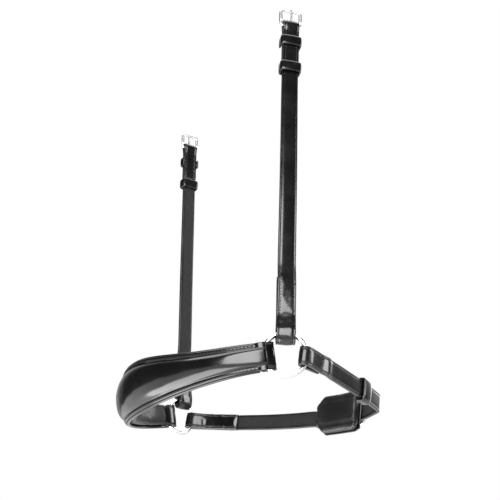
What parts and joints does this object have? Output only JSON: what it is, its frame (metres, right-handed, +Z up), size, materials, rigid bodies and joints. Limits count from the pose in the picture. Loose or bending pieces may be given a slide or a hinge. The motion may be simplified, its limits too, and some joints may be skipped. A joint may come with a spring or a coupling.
{
  "type": "drop noseband",
  "caption": "Black leather drop noseband: raised padded nosepiece, two chromed rings, cheek straps with buckles, and a buckled chin strap with a pad.",
  "frame": {"origin": "middle of the space for the nose, half way between the centres of the two side rings", "axes": "+X to the near (horse's left) side, -Y to the front of the nose, +Z up along the cheek straps"},
  "size_m": [0.2327, 0.1874, 0.315],
  "materials": {
    "glossy_leather": "glossy",
    "strap_leather": "semi-gloss, stitched",
    "soft_leather": "soft, matt",
    "foam": "closed-cell foam, hidden",
    "chrome": "polished"
  },
  "bodies": {
    "noseband": {"nosepiece_cover": "glossy_leather", "nosepiece_filler": "foam", "nosepiece_load_strap": "strap_leather", "nosepiece_padding": "foam", "nosepiece_lining": "soft_leather", "nosepiece_top_piping": "glossy_leather", "nosepiece_bottom_piping": "glossy_leather"},
    "near_ring": {"near_ring": "chrome"},
    "near_cheek_strap": {"near_cheek_strap": "strap_leather", "near_cheek_keeper": "glossy_leather"},
    "near_buckle": {"near_cheek_buckle": "chrome"},
    "near_tongue": {"near_cheek_tongue": "chrome"},
    "near_runner": {"near_cheek_runner": "glossy_leather"},
    "far_ring": {"far_ring": "chrome"},
    "far_cheek_strap": {"far_cheek_strap": "strap_leather", "far_cheek_keeper": "glossy_leather"},
    "far_buckle": {"far_cheek_buckle": "chrome"},
    "far_tongue": {"far_cheek_tongue": "chrome"},
    "far_runner": {"far_cheek_runner": "glossy_leather"},
    "chin_strap": {"near_chin_strap": "strap_leather", "far_chin_strap": "strap_leather", "chin_buckle": "chrome", "chin_keeper": "glossy_leather", "chin_pad_backing": "glossy_leather", "chin_pad_filling": "foam", "chin_pad_lining": "soft_leather"},
    "chin_runner": {"chin_runner": "glossy_leather"},
    "chin_tongue": {"chin_tongue": "chrome"}
  },
  "joints": [
    {"name": "near_ring_swing", "type": "hinge", "parent": "noseband", "child": "near_ring", "pos_m": [0.106, 0, 0], "axis": [0.9397, -0.342, 0], "range_deg": [-15, 9]},
    {"name": "near_cheek_lean", "type": "hinge", "parent": "near_ring", "child": "near_cheek_strap", "pos_m": [0.106, 0, 0.0145], "axis": [0.342, 0.9397, 0], "range_deg": [-15, 30]},
    {"name": "near_buckle_tilt", "type": "hinge", "parent": "near_cheek_strap", "child": "near_buckle", "pos_m": [0.10641, 0.00233, 0.27099], "axis": [0.1736, 0.9848, -0.0087], "range_deg": [-45, 30]},
    {"name": "near_tongue_turn", "type": "hinge", "parent": "near_buckle", "child": "near_tongue", "pos_m": [0.10641, 0.00233, 0.27099], "axis": [0.1736, 0.9848, -0.0087], "range_deg": [0, 75]},
    {"name": "near_runner_slide", "type": "slide", "parent": "near_cheek_strap", "child": "near_runner", "axis": [0.0015, 0.0086, 1], "range_m": [-0.165, 0.008]},
    {"name": "far_ring_swing", "type": "hinge", "parent": "noseband", "child": "far_ring", "pos_m": [-0.106, 0, 0], "axis": [0.9397, 0.342, 0], "range_deg": [-7, 12]},
    {"name": "far_cheek_lean", "type": "hinge", "parent": "far_ring", "child": "far_cheek_strap", "pos_m": [-0.106, 0, 0.0145], "axis": [0.342, -0.9397, 0], "range_deg": [-15, 17]},
    {"name": "far_buckle_tilt", "type": "hinge", "parent": "far_cheek_strap", "child": "far_buckle", "pos_m": [-0.10463, -0.00778, 0.2708], "axis": [0.1735, -0.9841, -0.0384], "range_deg": [-45, 30]},
    {"name": "far_tongue_turn", "type": "hinge", "parent": "far_buckle", "child": "far_tongue", "pos_m": [-0.10463, -0.00778, 0.2708], "axis": [0.1735, -0.9841, -0.0384], "range_deg": [0, 75]},
    {"name": "far_runner_slide", "type": "slide", "parent": "far_cheek_strap", "child": "far_runner", "axis": [0.0067, -0.0378, 0.9993], "range_m": [-0.165, 0.008]},
    {"name": "chin_swing", "type": "hinge", "parent": "noseband", "child": "chin_strap", "pos_m": [0, 0, 0], "axis": [1, 0, 0], "range_deg": [-7, 6]},
    {"name": "chin_runner_slide", "type": "hinge", "parent": "chin_strap", "child": "chin_runner", "pos_m": [-0.23303, -0.12442, 0.01528], "axis": [0, 0.1219, 0.9925], "range_deg": [-5.4, 2.5]},
    {"name": "chin_tongue_turn", "type": "hinge", "parent": "chin_strap", "child": "chin_tongue", "pos_m": [0.01888, 0.09726, -0.01194], "axis": [0, 0.1219, 0.9925], "range_deg": [0, 12]}
  ]
}
